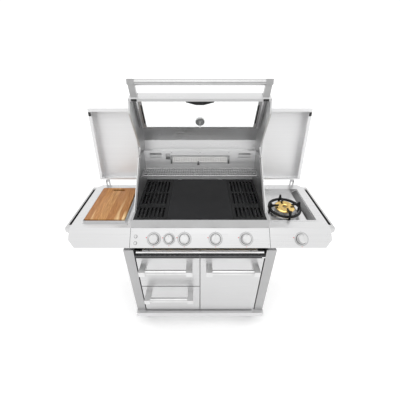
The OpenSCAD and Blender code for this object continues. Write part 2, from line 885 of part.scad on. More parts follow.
module side_burner_tray() {
    slant = 37;
    y0 = pan_y[0] + 0.5;
    y1 = pan_y[1] - 0.5;
    x0 = pan_x[0] + 0.5;
    x1 = pan_x[1] - 0.5;
    color(dark_steel) difference() {
        union() {
            front_extrude(y0, y1)
                polygon([[x0, shelf_z + 1], [x0, pan_floor], [x1 - slant, pan_floor],
                         [x1, shelf_z - 5], [x1, shelf_z + 1]]);
            block([x0 - 7, y0 - 7, shelf_z + 0.1], [x1 + 7, y1 + 7, shelf_z + 1.5]);
        }
        front_extrude(y0 + sheet, y1 - sheet)
            polygon([[x0 + sheet, shelf_z + 5], [x0 + sheet, pan_floor + sheet],
                     [x1 - slant - 1, pan_floor + sheet], [x1 - sheet, shelf_z - 5],
                     [x1 - sheet, shelf_z + 5]]);
        translate([wok_x, -wok_y, 0]) cylinder(r = 40, h = 2000, $fn = round_fn);
    }
}

module side_burner() {
    base_z = pan_floor + sheet;
    head_h = burner_cap_z - base_z;
    color("silver") translate([wok_x, -wok_y, 0]) difference() {
        union() {
            translate([0, 0, 800]) cylinder(r = 39, h = base_z - 799, $fn = 96);
            translate([0, 0, base_z]) rotate_extrude($fn = 96)
                polygon([[0, 0], [84, 0], [88, 12], [86, 12], [80, 4], [60, 7], [57, head_h], [0, head_h]]);
        }
        translate([0, 0, 780]) cylinder(r = 12, h = 100, $fn = round_fn);
    }
}

module burner_cap() {
    port_r = 61;
    color("goldenrod") translate([wok_x, -wok_y, burner_cap_z]) difference() {
        rotate_extrude($fn = 96)
            polygon([[14, 0], [port_r, 0], [63, 4], [63, 8], [58, 12], [22, 12], [18, 9], [14, 9]]);
        for (a = [0 : 20 : 340])
            rotate([0, 0, a]) block([port_r - 4, -2, -1], [port_r + 5, 2, 2.5]);
    }
}

module pan_support() {
    base_z = pan_floor + sheet + 0.3;
    ring_z = base_z + 30;
    color(iron) translate([wok_x, -wok_y, 0]) {
        difference() {
            translate([0, 0, ring_z]) cylinder(r = ring_r, h = 12, $fn = 96);
            translate([0, 0, ring_z - 1]) cylinder(r = ring_r - 13, h = 20, $fn = 96);
        }
        for (a = [4 : 90 : 274])
            rotate([0, 0, a]) {
                side_extrude(-4.5, 4.5)
                    polygon([[40, 885], [44, 877], [70, 876], [86, 868], [90, ring_z + 2],
                             [ring_r - 1, ring_z + 2], [ring_r - 2, ring_z + 14], [97, 899], [89, 899],
                             [82, 887]]);
                block([-6, ring_r - 12, base_z], [6, ring_r - 4, ring_z + 2]);
            }
    }
}

// Shelf lids, drawn closed on the right

module lid_box() {
    lip = lid_mouth;
    difference() {
        block([lid_x0, -236, lip], [lid_x1, lid_back, lid_top]);
        block([lid_x0 + sheet, -236 + sheet, lip + sheet],
              [lid_x1 - sheet, lid_back - sheet, lid_top - sheet]);
        block([lid_x0 + sheet, -236 + lid_rim, 800], [lid_x1 - lid_rim, lid_back - 12, lip + 5]);
    }
    for (x = lid_hinge_x)
        translate([x - 8, 0, 0]) difference() {
            union() {
                block([0, lid_back - 0.5, 872], [16, lid_pivot[0], 886]);
                bar_x(7, 0, 16, lid_pivot[0], lid_pivot[1]);
            }
            bar_x(lid_pin_r + running_fit, -5, 25, lid_pivot[0], lid_pivot[1]);
        }
}

module lid_left() {
    color(steel) mirror([1, 0, 0]) open_lid() lid_box();
}

module lid_right() {
    color(steel) open_lid() lid_box();
}

module lid_hinge_brackets() {
    color(steel) both_sides() for (x = lid_hinge_x) {
        for (side = [-13, 9])
            block([x + side, shelf_back, 800], [x + side + 4, lid_pivot[0] + 7, lid_pivot[1] + 7]);
        block([x - 13, shelf_back, 800], [x + 13, shelf_back + 3, 848]);
        bar_x(lid_pin_r, x - 14, x + 14, lid_pivot[0], lid_pivot[1]);
    }
}

// Screws and door hinge plates

module screw_head(r) {
    rotate_extrude($fn = 32) polygon([[0, 0], [r, 0], [r, r * 0.3], [r * 0.6, r * 0.6], [0, r * 0.7]]);
}

module fasteners() {
    color("silver") {
        difference() {
            union() {
                block([door_pivot[0] - 10, door_y + 0.1, plinth_top],
                      [post_in - 0.1, door_y + 30, front_low - 1]);
                block([door_pivot[0] - 7.5, door_y + 0.1, front_high + 1.5],
                      [post_in - 0.1, door_y + 13, 697.9]);
            }
            translate([door_pivot[0], door_pivot[1], 100])
                cylinder(r = hinge_pin_r + running_fit, h = 700, $fn = 32);
        }
        for (x = [-396, 396], s = [20, 95])
            on_panel(x, s) screw_head(3);
        for (x = [-200 : 200 : 200])
            translate([x, cook_back, 1112]) rotate([90, 0, 0]) screw_head(4);
    }
}

base_plinth();
cabinet_sides();
cabinet_back();
cabinet_liner();
front_rail();
drawer_runners();
firebox_shell();
rear_wall();
control_panel();
knob_bezels();
valve_manifold();
main_burners();
flame_tamers();
rear_burner();
shelf_left();
shelf_right();
side_rails();
side_burner_tray();
side_burner();
burner_cap();
pan_support();
lid_hinge_brackets();
fasteners();
caster_mounts();
hood_shell();
hood_ends();
hood_glass();
hood_handle();
thermometer();
lid_left();
lid_right();
drawer_upper_box();
drawer_upper_front();
drawer_upper_handle();
drawer_lower_box();
drawer_lower_front();
drawer_lower_handle();
door_panel();
door_handle();
drip_tray();
knob_burner_1();
knob_rear_burner();
knob_burner_2();
knob_burner_3();
knob_burner_4();
knob_side_burner();
button_ignition();
button_light();
caster_fork_left();
caster_fork_right();
wheel_front_left();
wheel_front_right();
wheel_rear_left();
wheel_rear_right();
grill_left();
hotplate();
grill_right();
warming_rack();
prep_tray();
cutting_board();
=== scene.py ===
import json
import math
import random

import bmesh
import bpy
from mathutils import Matrix, Vector


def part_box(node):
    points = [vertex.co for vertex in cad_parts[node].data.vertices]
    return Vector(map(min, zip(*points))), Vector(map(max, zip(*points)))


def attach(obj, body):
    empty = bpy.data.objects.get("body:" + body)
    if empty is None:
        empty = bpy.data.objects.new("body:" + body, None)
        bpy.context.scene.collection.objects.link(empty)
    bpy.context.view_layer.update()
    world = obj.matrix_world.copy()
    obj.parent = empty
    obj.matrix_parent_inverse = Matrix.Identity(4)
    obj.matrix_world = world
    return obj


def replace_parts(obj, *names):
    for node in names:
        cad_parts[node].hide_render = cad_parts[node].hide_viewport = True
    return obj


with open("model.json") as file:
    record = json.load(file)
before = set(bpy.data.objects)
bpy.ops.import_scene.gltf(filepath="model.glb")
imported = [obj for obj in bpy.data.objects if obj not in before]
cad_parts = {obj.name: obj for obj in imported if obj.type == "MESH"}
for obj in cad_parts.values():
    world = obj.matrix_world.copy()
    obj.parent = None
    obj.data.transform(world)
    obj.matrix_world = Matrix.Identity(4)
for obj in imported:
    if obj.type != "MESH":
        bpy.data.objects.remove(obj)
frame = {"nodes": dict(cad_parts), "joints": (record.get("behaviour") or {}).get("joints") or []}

SKY, SKY_BEHIND = 1.08, 0.5     # brightness of the studio, and of its dark side behind the camera
NODES = frame["nodes"]
JOINTS = {joint["name"]: joint for joint in frame["joints"]}
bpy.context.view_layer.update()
random.seed(7)


# ---------------------------------------------------------------- materials

class Shader:
    """A node material with one Principled shader, built a few nodes at a time."""

    def __init__(self, name, **sockets):
        self.material = bpy.data.materials.new(name)
        self.material.use_nodes = True
        self.tree = self.material.node_tree
        self.bsdf = self.tree.nodes["Principled BSDF"]
        for key, value in sockets.items():
            self.bsdf.inputs[key.replace("_", " ")].default_value = value
        self.coords = self.node("ShaderNodeTexCoord").outputs["Object"]

    def node(self, kind, **settings):
        made = self.tree.nodes.new(kind)
        for key, value in settings.items():
            setattr(made, key, value)
        return made

    def link(self, source, target):
        self.tree.links.new(source, target)

    def stretched(self, scale, turn=(0, 0, 0)):
        mapping = self.node("ShaderNodeMapping")
        mapping.inputs["Scale"].default_value = scale
        mapping.inputs["Rotation"].default_value = turn
        self.link(self.coords, mapping.inputs["Vector"])
        return mapping.outputs["Vector"]

    def noise(self, vector, scale, detail=3.0, distortion=0.0):
        made = self.node("ShaderNodeTexNoise")
        made.inputs["Scale"].default_value = scale
        made.inputs["Detail"].default_value = detail
        made.inputs["Distortion"].default_value = distortion
        self.link(vector, made.inputs["Vector"])
        return made.outputs["Fac"]

    def ranged(self, value, low, high, from_low=0.3, from_high=0.7):
        made = self.node("ShaderNodeMapRange")
        made.inputs["From Min"].default_value = from_low
        made.inputs["From Max"].default_value = from_high
        made.inputs["To Min"].default_value = low
        made.inputs["To Max"].default_value = high
        self.link(value, made.inputs["Value"])
        return made.outputs["Result"]

    def maths(self, operation, a, b):
        made = self.node("ShaderNodeMath", operation=operation)
        for socket, value in zip(made.inputs, (a, b)):
            if isinstance(value, (int, float)):
                socket.default_value = value
            else:
                self.link(value, socket)
        return made.outputs["Value"]

    def ramp(self, value, stops):
        made = self.node("ShaderNodeValToRGB")
        elements = made.color_ramp.elements
        while len(elements) < len(stops):
            elements.new(0.5)
        for element, (place, colour) in zip(elements, stops):
            element.position = place
            element.color = (*colour, 1.0)
        self.link(value, made.inputs["Fac"])
        return made.outputs["Color"]

    def mix(self, factor, a, b, blend="MIX"):
        made = self.node("ShaderNodeMix", data_type="RGBA", blend_type=blend)
        for socket, value in ((made.inputs[0], factor), (made.inputs[6], a), (made.inputs[7], b)):
            if isinstance(value, (int, float)):
                socket.default_value = value
            elif isinstance(value, tuple):
                socket.default_value = (*value, 1.0)
            else:
                self.link(value, socket)
        return made.outputs[2]

    def bump(self, height, distance, strength=1.0, after=None):
        made = self.node("ShaderNodeBump")
        made.inputs["Distance"].default_value = distance
        made.inputs["Strength"].default_value = strength
        self.link(height, made.inputs["Height"])
        if after:
            self.link(after, made.inputs["Normal"])
        return made.outputs["Normal"]

    def set(self, socket, source):
        self.link(source, self.bsdf.inputs[socket])


GRAIN = {"x": (2.5, 420, 420), "y": (420, 2.5, 420), "z": (420, 420, 2.5)}


def brushed_steel(name, grain="x", tone=0.72, rough=0.3, metal=1.0, spread=0.1, depth=0.00003):
    """Rolled stainless sheet: fine lines along the grain, soft smears and wiped patches."""
    s = Shader(name, Metallic=metal)
    lines = s.noise(s.stretched(GRAIN[grain]), 1.0, 4.0)
    broad = s.noise(s.stretched(tuple(0.12 * g for g in GRAIN[grain])), 1.0, 2.0)
    smear = s.noise(s.stretched((1, 1, 1)), 5.0, 3.0, 0.6)
    streaks = s.mix(0.35, lines, broad)
    light = tuple(min(1.0, tone * k) for k in (1.03, 1.03, 1.035))
    dark = tuple(tone * k for k in (0.965, 0.965, 0.97))
    base = s.ramp(streaks, [(0.3, dark), (0.7, light)])
    s.set("Base Color", s.mix(s.ranged(smear, 0.0, 0.05), base, (tone * 0.8, tone * 0.8, tone * 0.79)))
    fine = s.ranged(streaks, rough - spread / 2, rough + spread / 2)
    s.set("Roughness", s.maths("ADD", fine, s.ranged(smear, -0.03, 0.05)))
    s.set("Normal", s.bump(lines, depth))
    return s.material


def polished_metal(name, tone, rough=0.12, tint=(1, 1, 1)):
    """Turned or polished metal: faint swirls, smudges, tiny scratches."""
    s = Shader(name, Metallic=1.0)
    smear = s.noise(s.stretched((1, 1, 1)), 18.0, 4.0, 0.8)
    scratch = s.noise(s.stretched((60, 900, 300), (0.3, 0.2, 0.6)), 1.0, 2.0)
    light = tuple(min(1.0, tone * 1.03 * k) for k in tint)
    dark = tuple(tone * 0.95 * k for k in tint)
    s.set("Base Color", s.ramp(smear, [(0.35, dark), (0.65, light)]))
    s.set("Roughness", s.maths("ADD", s.ranged(smear, rough, rough + 0.06), s.ranged(scratch, 0.0, 0.04)))
    s.set("Normal", s.bump(scratch, 0.000006))
    return s.material


def painted_steel(name, colour, rough=0.45):
    """Dark coated sheet with a fine orange-peel texture and dusty patches."""
    s = Shader(name)
    peel = s.noise(s.stretched((1, 1, 1)), 650.0, 2.0)
    dust = s.noise(s.stretched((1, 1, 1)), 9.0, 5.0, 0.4)
    dusty = tuple(c * 1.35 + 0.012 for c in colour)
    s.set("Base Color", s.ramp(dust, [(0.35, colour), (0.75, dusty)]))
    s.set("Roughness", s.ranged(dust, rough - 0.08, rough + 0.12))
    s.set("Normal", s.bump(peel, 0.00008))
    return s.material


def cast_iron(name, colour=(0.009, 0.009, 0.0095), rough=0.5):
    """Matt enamelled casting: sandy grain, cloudy sheen and a few worn spots."""
    s = Shader(name, Specular_IOR_Level=0.2)
    sand = s.noise(s.stretched((1, 1, 1)), 900.0, 3.0)
    lumps = s.noise(s.stretched((1, 1, 1)), 120.0, 3.0)
    cloud = s.noise(s.stretched((1, 1, 1)), 7.0, 4.0, 0.5)
    lighter = tuple(c * 1.7 for c in colour)
    s.set("Base Color", s.ramp(cloud, [(0.3, colour), (0.75, lighter)]))
    s.set("Roughness", s.maths("ADD", s.ranged(cloud, rough - 0.1, rough + 0.08), s.ranged(sand, -0.04, 0.06)))
    s.set("Normal", s.bump(sand, 0.00012, 0.8, s.bump(lumps, 0.0002, 0.5)))
    return s.material


def rubber(name, colour=(0.018, 0.018, 0.019)):
    s = Shader(name, Specular_IOR_Level=0.35)
    pores = s.noise(s.stretched((1, 1, 1)), 500.0, 3.0)
    scuff = s.noise(s.stretched((1, 1, 1)), 25.0, 4.0)
    s.set("Base Color", s.ramp(scuff, [(0.4, colour), (0.8, (0.05, 0.048, 0.046))]))
    s.set("Roughness", s.ranged(scuff, 0.55, 0.8))
    s.set("Normal", s.bump(pores, 0.0001))
    return s.material


def clear_glass(name):
    s = Shader(name, Transmission_Weight=1.0, IOR=1.45, Base_Color=(0.97, 0.985, 0.98, 1))
    haze = s.noise(s.stretched((1, 1, 1)), 6.0, 4.0, 0.5)
    s.set("Roughness", s.ranged(haze, 0.0, 0.03))
    return s.material


def ceramic(name):
    """Infrared burner tile: chalky, with rows of tiny flame holes whose dark colour is painted shade."""
    s = Shader(name, Roughness=0.85)
    holes = s.node("ShaderNodeTexVoronoi", feature="F1")
    holes.inputs["Scale"].default_value = 330.0
    holes.inputs["Randomness"].default_value = 0.0
    s.link(s.coords, holes.inputs["Vector"])
    pits = s.ranged(holes.outputs["Distance"], 0.0, 1.0, 0.25, 0.4)
    cloud = s.noise(s.stretched((1, 1, 1)), 20.0, 4.0)
    face = s.ramp(cloud, [(0.3, (0.86, 0.855, 0.84)), (0.8, (0.93, 0.925, 0.91))])
    # The holes are darkened in the base colour: painted shade in the flame holes.
    s.set("Base Color", s.mix(s.maths("SUBTRACT", 1.0, pits), face, (0.5, 0.49, 0.48)))
    s.set("Normal", s.bump(pits, 0.0006))
    return s.material


def acacia(name):
    """Oiled acacia staves along Y: each its own brown, with flowing grain and pale sapwood at some joints."""
    s = Shader(name, Specular_IOR_Level=0.3)
    split = s.node("ShaderNodeSeparateXYZ")
    s.link(s.coords, split.inputs["Vector"])
    warp = s.noise(s.stretched((3, 1.3, 3)), 4.0, 2.0)
    drift = s.maths("MULTIPLY", s.maths("SUBTRACT", warp, 0.5), 0.045)
    slant = s.maths("MULTIPLY", split.outputs["Y"], 0.06)
    across = s.maths("ADD", s.maths("ADD", split.outputs["X"], drift), slant)
    stave = s.maths("FLOOR", s.maths("DIVIDE", split.outputs["X"], STAVE_W), 0.0)
    pick = s.node("ShaderNodeTexWhiteNoise", noise_dimensions="1D")
    s.link(stave, pick.inputs["W"])
    tone = s.ramp(pick.outputs["Value"], [(0.0, (0.40, 0.17, 0.052)), (0.35, (0.56, 0.27, 0.088)),
                                          (0.65, (0.46, 0.21, 0.065)), (1.0, (0.66, 0.36, 0.13))])
    join = s.node("ShaderNodeCombineXYZ")
    s.link(s.maths("ADD", across, s.maths("MULTIPLY", pick.outputs["Value"], 0.7)), join.inputs["X"])
    s.link(s.maths("MULTIPLY", split.outputs["Y"], 0.09), join.inputs["Y"])
    s.link(split.outputs["Z"], join.inputs["Z"])
    rings = s.noise(join.outputs["Vector"], 95.0, 6.0, 1.2)
    grained = s.mix(s.ranged(rings, 0.0, 0.75, 0.35, 0.7), tone, (0.27, 0.105, 0.032))
    sap_band = s.noise(join.outputs["Vector"], 17.0, 1.0)
    sap = s.ranged(sap_band, 0.0, 0.85, 0.6, 0.68)
    wood = s.mix(sap, grained, (0.86, 0.62, 0.33))
    pores = s.noise(s.stretched((900, 45, 900)), 1.0, 2.0)
    dark = s.ranged(pores, 0.25, 0.0, 0.3, 0.42)
    s.set("Base Color", s.mix(dark, wood, (0.12, 0.05, 0.02)))
    s.set("Roughness", s.ranged(rings, 0.34, 0.5))
    s.set("Normal", s.bump(pores, 0.0001, 0.6))
    return s.material


STAVE_W = 0.047

STEEL_X = brushed_steel("steel_grain_across", "x", 0.72)
# Darker copy of the same stainless: painted shade on the drawer fronts, door, cabinet back and drawer boxes.
STEEL_FRONT_SHADED = brushed_steel("steel_front_sheet_painted_shade", "x", 0.61, 0.32)
STEEL_Y = brushed_steel("steel_grain_deep", "y", 0.6, 0.5)
# Much darker copy of the same stainless: painted shade on the cabinet's upright sides.
STEEL_Z_SHADED = brushed_steel("steel_grain_upright_painted_shade", "z", 0.43, 0.34)
STEEL_DARK = brushed_steel("steel_inner_sheet", "x", 0.42, 0.34)
# Lighter, less metallic copy of the same stainless: painted light on the fire box's rear wall.
STEEL_REAR_LIT = brushed_steel("steel_rear_wall_painted_light", "x", 0.84, 0.42, 0.62)
# Dark copy of the same stainless: painted shade on the fire box's rims and a painted reflection on the side
# burner pan's slope.
STEEL_PAINTED_SHADE = brushed_steel("steel_painted_shade", "y", 0.2, 0.4)
# Slightly darker, less metallic copy of the same stainless: painted shade on the plinth.
STEEL_BASE_SHADED = brushed_steel("steel_plinth_painted_shade", "x", 0.7, 0.36, 0.75)
LINER = brushed_steel("steel_heated_liner", "z", 0.55, 0.42)
SATIN = polished_metal("satin_knob_metal", 0.7, 0.3)
# Lighter copy of the same stainless: painted light on the lids and drip tray.
STEEL_LID_LIT = brushed_steel("steel_lid_sheet_painted_light", "x", 0.88, 0.45, 0.8)
HANDLE = polished_metal("hood_handle_metal", 0.5, 0.28)
WIRE = polished_metal("rack_wire", 0.5, 0.2)
BEZEL = polished_metal("bezel_metal", 0.62, 0.32)
SATIN_DARK = polished_metal("satin_rail_metal", 0.6, 0.25)
CHROME = polished_metal("polished_wire", 0.72, 0.1)
BRASS = polished_metal("burner_brass", 0.9, 0.2, (1.0, 0.7, 0.25))
COATED = painted_steel("coated_dark_steel", (0.05, 0.05, 0.053))
COATED_GREY = painted_steel("coated_grey_steel", (0.1, 0.1, 0.104))
# Painted shadow: this black is used only for the rings round the knobs and buttons.
PAINTED_SHADOW_BLACK = painted_steel("painted_shadow_black", (0.02, 0.02, 0.021), 0.5)
BLACKENED = painted_steel("recess_black", (0.012, 0.012, 0.013), 0.6)
IRON = cast_iron("enamelled_iron")
IRON_FLAT = cast_iron("enamelled_iron_plate", (0.011, 0.011, 0.012), 0.45)
RUBBER = rubber("black_rubber")
GLASS = clear_glass("window_glass")
CERAMIC = ceramic("burner_ceramic")
WOOD = acacia("acacia_staves")
RED = painted_steel("red_marking", (0.55, 0.03, 0.02), 0.4)
GREY_INK = painted_steel("grey_marking", (0.32, 0.32, 0.33), 0.45)

NODE_MATERIALS = {
    STEEL_X: ["control_panel", "shelf_left", "shelf_right", "hood_shell", "prep_tray", "side_burner_tray"],
    STEEL_LID_LIT: ["lid_left", "lid_right", "drip_tray"],
    STEEL_BASE_SHADED: ["base_plinth"],
    STEEL_FRONT_SHADED: ["drawer_upper_front", "drawer_lower_front", "door_panel",
                  "cabinet_back", "drawer_upper_box", "drawer_lower_box"],
    STEEL_REAR_LIT: ["rear_wall"],
    STEEL_Y: ["hood_ends", "lid_hinge_brackets"],
    STEEL_Z_SHADED: ["cabinet_sides"],
    LINER: ["firebox_shell"],
    STEEL_DARK: ["cabinet_liner"],
    HANDLE: ["hood_handle"],
    SATIN: ["drawer_upper_handle", "drawer_lower_handle", "door_handle", "knob_burner_1",
            "knob_rear_burner", "knob_burner_2", "knob_burner_3", "knob_burner_4", "knob_side_burner",
            "button_ignition", "button_light", "side_burner", "thermometer"],
    BEZEL: ["knob_bezels"],
    SATIN_DARK: ["side_rails"],
    CHROME: ["warming_rack", "fasteners"],
    BRASS: ["burner_cap", "valve_manifold"],
    COATED_GREY: ["front_rail"],
    COATED: ["drawer_runners", "caster_mounts", "caster_fork_left", "caster_fork_right",
             "main_burners", "flame_tamers"],
    IRON: ["grill_left", "grill_right", "pan_support"],
    IRON_FLAT: ["hotplate"],
    RUBBER: ["wheel_front_left", "wheel_front_right", "wheel_rear_left", "wheel_rear_right"],
    GLASS: ["hood_glass"],
    CERAMIC: ["rear_burner"],
    WOOD: ["cutting_board"],
}
BEVELS = {
    0.0004: ["base_plinth", "control_panel", "shelf_left", "shelf_right", "cabinet_sides", "rear_wall",
             "hood_shell", "hood_ends", "drip_tray", "side_burner_tray", "prep_tray", "firebox_shell",
             "lid_left", "lid_right"],
    0.0012: ["drawer_upper_front", "drawer_lower_front", "door_panel", "side_rails", "grill_left",
             "grill_right", "hotplate", "pan_support"],
    0.002: ["hood_handle", "drawer_upper_handle", "drawer_lower_handle", "door_handle"],
}


def dress_frame():
    for material, names in NODE_MATERIALS.items():
        for name in names:
            data = NODES[name].data
            data.materials.clear()
            data.materials.append(material)
    for width, names in BEVELS.items():
        for name in names:
            soften = NODES[name].modifiers.new("edges", "BEVEL")
            soften.width = width
            soften.segments = 2
            soften.limit_method = "ANGLE"
            soften.angle_limit = math.radians(40)
            soften.harden_normals = False


dress_frame()


# ---------------------------------------------------------------- mesh helpers

def place_piece(name, data, material, body):
    obj = bpy.data.objects.new(name, data)
    bpy.context.collection.objects.link(obj)
    data.materials.append(material)
    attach(obj, body)
    return obj


def mesh_piece(name, bm, material, body, matrix=Matrix.Identity(4), sharp=35):
    """Turns a bmesh into a piece on a body, shaded smooth except over sharp edges."""
    bmesh.ops.remove_doubles(bm, verts=bm.verts, dist=1e-6)
    bmesh.ops.recalc_face_normals(bm, faces=bm.faces)
    bm.transform(matrix)
    data = bpy.data.meshes.new(name)
    bm.to_mesh(data)
    bm.free()
    data.polygons.foreach_set("use_smooth", [True] * len(data.polygons))
    data.set_sharp_from_angle(angle=math.radians(sharp))
    return place_piece(name, data, material, body)


def add_lathe(bm, profile, matrix=Matrix.Identity(4), segments=48):
    """Closed turning of (radius, height) points about local Z."""
    rings = []
    for radius, height in profile:
        if radius < 1e-7:
            rings.append([bm.verts.new(matrix @ Vector((0, 0, height)))])
            continue
        turn = [2 * math.pi * i / segments for i in range(segments)]
        rings.append([bm.verts.new(matrix @ Vector((radius * math.cos(a), radius * math.sin(a), height)))
                      for a in turn])
    for low, high in zip(rings, rings[1:]):
        for i in range(segments):
            k = (i + 1) % segments
            corners = [low[i % len(low)], low[k % len(low)], high[k % len(high)], high[i % len(high)]]
            unique = list(dict.fromkeys(corners))
            if len(unique) > 2:
                bm.faces.new(unique)


def add_tube(bm, points, radius, segments=12):
    """Round rod through points, with flat ends."""
    points = [Vector(p) for p in points]
    rings = []
    for i, point in enumerate(points):
        ahead = points[min(i + 1, len(points) - 1)] - points[max(i - 1, 0)]
        turn = ahead.to_track_quat("Z", "Y").to_matrix()
        rings.append([bm.verts.new(point + turn @ Vector((radius * math.cos(a), radius * math.sin(a), 0)))
                      for a in (2 * math.pi * k / segments for k in range(segments))])
    for low, high in zip(rings, rings[1:]):
        for k in range(segments):
            n = (k + 1) % segments
            bm.faces.new([low[k], low[n], high[n], high[k]])
    bm.faces.new(list(reversed(rings[0])))
    bm.faces.new(rings[-1])


def add_block(bm, low, high, round_edge=0.0, matrix=Matrix.Identity(4), segments=2):
    """Block between two corners with its edges rounded."""
    part = bmesh.new()
    bmesh.ops.create_cube(part, size=1.0)
    low, high = Vector(low), Vector(high)
    for vert in part.verts:
        vert.co = Vector(low[i] + (vert.co[i] + 0.5) * (high[i] - low[i]) for i in range(3))
    if round_edge:
        bmesh.ops.bevel(part, geom=part.edges[:], offset=round_edge, segments=segments, affect="EDGES",
                        profile=0.5, clamp_overlap=True)
    part.transform(matrix)
    copied = bpy.data.meshes.new("part")
    part.to_mesh(copied)
    part.free()
    bm.from_mesh(copied)
    bpy.data.meshes.remove(copied)


def rounded_outline(x0, x1, y0, y1, radius, steps=5):
    """Rectangle with rounded corners, as (x, y) points."""
    centres = [(x1 - radius, y1 - radius, 0), (x0 + radius, y1 - radius, 90),
               (x0 + radius, y0 + radius, 180), (x1 - radius, y0 + radius, 270)]
    points = []
    for cx, cy, start in centres:
        for i in range(steps + 1):
            a = math.radians(start + 90 * i / steps)
            points.append((cx + radius * math.cos(a), cy + radius * math.sin(a)))
    return points


def plate_mesh(name, outlines, thickness, edge):
    """Flat plate about z = 0 from an outer outline and its holes, with softened edges."""
    curve = bpy.data.curves.new(name, "CURVE")
    curve.dimensions = "2D"
    curve.fill_mode = "BOTH"
    curve.extrude = thickness / 2 - edge
    curve.bevel_depth = edge
    curve.bevel_resolution = 2
    curve.offset = -edge
    for outline in outlines:
        spline = curve.splines.new("POLY")
        spline.points.add(len(outline) - 1)
        for point, (x, y) in zip(spline.points, outline):
            point.co = (x, y, 0, 1)
        spline.use_cyclic_u = True
    holder = bpy.data.objects.new(name, curve)
    bpy.context.collection.objects.link(holder)
    evaluated = holder.evaluated_get(bpy.context.evaluated_depsgraph_get())
    data = bpy.data.meshes.new_from_object(evaluated)
    bpy.data.objects.remove(holder)
    bpy.data.curves.remove(curve)
    bm = bmesh.new()
    bm.from_mesh(data)
    bpy.data.meshes.remove(data)
    return bm


def node_size(name):
    low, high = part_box(name)
    return Vector(low), Vector(high)


def screw_head(bm, matrix, radius=0.004):
    """Button head with a socket."""
    socket, crown, shoulder = radius * 0.42, radius * 0.55, radius * 0.3
    add_lathe(bm, [(0, 0.0002), (socket, 0.0002), (socket, crown), (radius * 0.7, crown),
                   (radius * 0.95, shoulder), (radius, 0), (radius, -0.0004), (0, -0.0004)], matrix, 24)


# ---------------------------------------------------------------- places taken from the frame

HOOD_JOINT = JOINTS["hood_hinge"]
HOOD_PIVOT = Vector(HOOD_JOINT["pos_m"])
HOOD_TURN = math.radians(HOOD_JOINT["range_deg"][0])
OPEN_HOOD = (Matrix.Translation(HOOD_PIVOT) @ Matrix.Rotation(HOOD_TURN, 4, "X")
             @ Matrix.Translation(-HOOD_PIVOT))
LID_TURN = math.radians(JOINTS["lid_left_hinge"]["range_deg"][0])
LID_PIVOT = Vector((0, *JOINTS["lid_left_hinge"]["pos_m"][1:]))
OPEN_LID = (Matrix.Translation(LID_PIVOT) @ Matrix.Rotation(LID_TURN, 4, "X")
            @ Matrix.Translation(-LID_PIVOT))
PANEL_NORMAL = Vector(JOINTS["knob_burner_1_turn"]["axis"])
PANEL_TILT = math.acos(PANEL_NORMAL.z)
PANEL_TOP = Vector((0, -0.236, 0.852))          # upper edge of the control panel's slope
GLASS_FOOT, GLASS_HEAD = Vector((0, -0.28, 0.965)), Vector((0, -0.071, 1.104))   # hood closed
RIM_SLOPE = [Vector((0, -0.135, 0.893)), Vector((0, 0.035, 1.03)), Vector((0, 0.148, 1.124))]
RIM_X = 0.3945                                  # middle of the darkened inner half of the fire box's rims, where shade is painted
KNOBS = ["knob_burner_1", "knob_rear_burner", "knob_burner_2", "knob_burner_3", "knob_burner_4",
         "knob_side_burner"]
BEZEL_RADIUS = {name: 0.04 for name in KNOBS}
BEZEL_RADIUS["knob_rear_burner"] = 0.0345


def knob_frame(name):
    """+Z out of the panel and +Y up its slope, at the knob's axis on the panel's face."""
    place = Vector(JOINTS[name + "_turn"]["pos_m"])
    return Matrix.Translation(place) @ Matrix.Rotation(PANEL_TILT, 4, "X")


# ---------------------------------------------------------------- cooking area

def make_warming_rack():
    """Welded wire rack: a frame of thick rods, thin wires from front to back, two braces below."""
    low, high = node_size("warming_rack")
    rod, wire = 0.0026, 0.0015
    z = high.z - rod
    bm = bmesh.new()
    inset = rod
    frame_points = rounded_outline(low.x + inset, high.x - inset, low.y + inset, high.y - inset, 0.012)
    loop = [Vector((x, y, z)) for x, y in frame_points]
    add_tube(bm, loop + [loop[0]], rod, 10)
    wires = 47
    for i in range(1, wires + 1):
        x = low.x + (high.x - low.x) * i / (wires + 1)
        ends = (low.y + rod, high.y - rod)
        add_tube(bm, [(x, ends[0], z + 0.0005), (x, sum(ends) / 2, z), (x, ends[1], z + 0.0005)], wire, 8)
    for y in (low.y + (high.y - low.y) * k / 3 for k in (1, 2)):
        add_tube(bm, [(low.x + rod, y, z - 0.0025), (high.x - rod, y, z - 0.0025)], 0.0022, 8)
    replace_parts(mesh_piece("warming_rack_wires", bm, WIRE, "warming_rack"), "warming_rack")


def make_cutting_board():
    """Thick oiled board with softened corners and a rounded hanging slot."""
    low, high = node_size("cutting_board")
    grip_x, grip_y, half_w, half_d = (low.x + high.x) / 2, 0.151, 0.042, 0.01
    outer = rounded_outline(low.x, high.x, low.y, high.y, 0.006)
    hole = rounded_outline(grip_x - half_w, grip_x + half_w, grip_y - half_d, grip_y + half_d, 0.0097, 8)
    bm = plate_mesh("board", [outer, hole], high.z - low.z, 0.0025)
    lift = Matrix.Translation((0, 0, (low.z + high.z) / 2))
    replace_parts(mesh_piece("board_of_staves", bm, WOOD, "cutting_board", lift), "cutting_board")


# ---------------------------------------------------------------- controls

def ring(bm, inner, outer, low, high, place, segments=64):
    """Flat ring about the place's +Z."""
    add_lathe(bm, [(inner, low), (outer, low), (outer, high), (inner, high), (inner, low)], place, segments)


